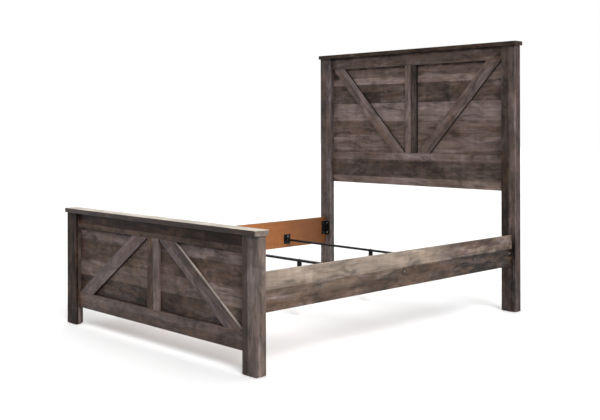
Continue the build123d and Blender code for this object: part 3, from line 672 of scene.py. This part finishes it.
def screw_foot(node):
    """A screw foot: an outline turned about its own axis. It goes out under the pad, up its rim, in over
    its cone and up the stud to a blunt tip. The rim's radius falls by one cosine wave a notch as the
    angle goes round. The stud's radius is its middle radius plus a cosine of the height over the pitch
    less the angle over a whole turn, which makes one continuous helix."""
    low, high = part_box(node)
    steps = round((THREAD_HIGH - THREAD_LOW) / PITCH * THREAD_STEPS) + 1
    thread = np.linspace(THREAD_LOW, THREAD_HIGH, steps)
    tip = (high.z - low.z) / MM - TIP_ROOM
    height = np.concatenate([PAD[:, 1], thread, [tip]])
    radius = np.concatenate([PAD[:, 0], np.full(steps, STUD_RADIUS - THREAD_DEPTH / 2), [TIP_RADIUS]])
    notch = np.concatenate([PAD[:, 2], np.zeros(steps + 1)]) * NOTCH_DEPTH / 2
    ridge = np.concatenate([np.zeros(len(PAD)), np.full(steps, THREAD_DEPTH / 2), [0.0]])
    angle = np.linspace(0, 2 * math.pi, NOTCHES * STEPS_A_NOTCH, endpoint=False)
    rim = notch[:, None] * (1 - np.cos(NOTCHES * angle))
    helix = ridge[:, None] * np.cos(2 * math.pi * height[:, None] / PITCH - angle)
    reach = radius[:, None] - rim + helix
    rise = np.broadcast_to(height[:, None], reach.shape)
    rings = np.stack([reach * np.cos(angle), reach * np.sin(angle), rise], axis=-1) * MM
    rings += ((low.x + high.x) / 2, (low.y + high.y) / 2, low.z)
    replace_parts(skin("threaded_" + node, rings, THREAD_CREASE, node, "black_zinc_hardware"), node)


# a weld bead round a cradle of flat bar, in mm
BEAD = 1.7
BEAD_SWELL = 0.13
BEAD_AROUND = 12
BEAD_ENDS = 12
BEAD_CREASE = 60  # degrees
RIPPLE = 1.9
RIPPLE_STEPS = 5
CORNER_STEPS = 9
CRADLE_HALF = 15.7
CRADLE_LOW, CRADLE_HIGH = 326.0, 341.0
PLATE = 3.0


def weld(node, side):
    """The weld between a bar bracket's plate and its cradle: a circle carried down one cradle wall,
    across under it and up the other, with the corners eased by a running mean. Its radius swells as a
    cosine of the way gone, one swell a ripple, and closes at both ends, by the square root of one less
    the twelfth power of the share of the way from the middle."""
    low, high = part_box(node)
    middle = (low.y + high.y) / 2 / MM
    face = (high.x if side > 0 else low.x) / MM - side * PLATE
    top = CRADLE_HIGH - BEAD
    corners = np.array([(-1, top), (-1, CRADLE_LOW), (1, CRADLE_LOW), (1, top)])
    corners[:, 0] = middle + corners[:, 0] * CRADLE_HALF
    gone = np.concatenate([[0], np.cumsum(np.linalg.norm(np.diff(corners, axis=0), axis=1))])
    way = np.linspace(0, gone[-1], round(gone[-1] / RIPPLE * RIPPLE_STEPS) + 1)
    window = way[:, None] + np.linspace(-BEAD, BEAD, CORNER_STEPS)
    path = np.stack([np.interp(window, gone, corners[:, i]).mean(axis=1) for i in (0, 1)], axis=-1)
    along = np.gradient(path, axis=0)
    along /= np.linalg.norm(along, axis=1)[:, None]
    outward = np.stack([along[:, 1], -along[:, 0]], axis=-1)
    from_middle = np.abs(way - way[-1] / 2) * 2 / way[-1]
    closing = np.sqrt(np.clip(1 - from_middle**BEAD_ENDS, 0.02, 1))
    radius = BEAD * (1 + BEAD_SWELL * np.cos(2 * math.pi * way / RIPPLE)) * closing
    angle = np.linspace(0, 2 * math.pi, BEAD_AROUND, endpoint=False) * side
    rings = np.empty((len(way), len(angle), 3))
    rings[..., 0] = face + radius[:, None] * np.cos(angle)
    rings[..., 1:] = path[:, None] + (radius[:, None] * np.sin(angle))[..., None] * outward[:, None]
    skin("weld_" + node, rings * MM, BEAD_CREASE, "frame", "black_powder_coated_steel")


for end in ("foot", "middle", "head"):
    screw_foot(f"screw_foot_{end}")
    weld(f"bar_bracket_{end}_left", -1)
    weld(f"bar_bracket_{end}_right", 1)

# ---------------------------------------------------------------- floor, light and camera
FLOOR_REACH = 40  # m
floor_mesh = bpy.data.meshes.new("floor")
corners = [(x * FLOOR_REACH, y * FLOOR_REACH, 0) for x, y in ((-1, -1), (1, -1), (1, 1), (-1, 1))]
floor_mesh.from_pydata(corners, [], [(0, 1, 2, 3)])
floor = bpy.data.objects.new("floor", floor_mesh)
SCENE.collection.objects.link(floor)
floor_material, tree, place, _ = new_material("pale_floor")
drift = add(tree, "TexNoise", {"Vector": place, "Scale": 3.0})
pale = add(tree, "Mix", (drift, linear("#F3F3F3"), linear("#F7F7F7")), data_type="RGBA")
paint = add(tree, "BsdfPrincipled", {"Base Color": pale, "Roughness": 0.95, "Specular IOR Level": 0.2})
add(tree, "OutputMaterial", (paint,))
floor_mesh.materials.append(floor_material)

# the studio lights the bed with a white backdrop behind it and dim walls behind the viewer, and a
# camera ray that meets it sees plain white
BACKDROP = (-0.72, 0.69, 0.1)
BACKDROP_EDGE = (0.2, 0.85)
DIM_WALLS = 0.18
world = bpy.data.worlds.new("studio")
SCENE.world = world
world.use_nodes = True
tree = world.node_tree
tree.nodes.clear()
looking = live(add(tree, "TexCoord").outputs, "Generated")
towards = add(tree, "VectorMath", (looking, BACKDROP), operation="DOT_PRODUCT")
backdrop = add(tree, "MapRange", (towards.outputs["Value"], *BACKDROP_EDGE, DIM_WALLS, 1.0), **EASED)
seen = add(tree, "LightPath").outputs["Is Camera Ray"]
strength = add(tree, "Mix", (seen, backdrop, 1.0))
add(tree, "OutputWorld", (add(tree, "Background", {"Color": (1, 1, 1, 1), "Strength": strength}),))

LAMP_DISTANCE = 6
LAMPS = {
    # name: (direction it comes from, strength, apparent size in degrees)
    "key": ((0.70, -0.30, 0.65), 2.5, 30),
    "overhead": ((-0.15, 0.1, 1.0), 1.6, 90),
}
for name, (direction, power, size) in LAMPS.items():
    lamp = bpy.data.lights.new(name, "SUN")
    lamp.energy, lamp.angle = power, math.radians(size)
    lit = bpy.data.objects.new(name, lamp)
    x, y, z = direction
    lit.rotation_euler = (math.atan2(math.hypot(x, y), z), 0, math.atan2(x, -y))
    lit.location = (x * LAMP_DISTANCE, y * LAMP_DISTANCE, z * LAMP_DISTANCE)
    SCENE.collection.objects.link(lit)

LENS = 54.9  # mm, over a sensor 36 mm wide
SENSOR = 36
SHIFT = (0.01645, -0.1423)
EYE = (3.9165, -3.8080, 1.1343)
TIP_UP, ROLL, HEADING = 0.002, 0.002, 0.810
camera = bpy.data.cameras.new("camera")
camera.lens = LENS
camera.sensor_width = SENSOR
camera.shift_x, camera.shift_y = SHIFT
viewer = bpy.data.objects.new("camera", camera)
viewer.location = EYE
viewer.rotation_euler = (math.pi / 2 + TIP_UP, ROLL, HEADING)
SCENE.collection.objects.link(viewer)
SCENE.camera = viewer
SCENE.view_settings.view_transform = "Standard"
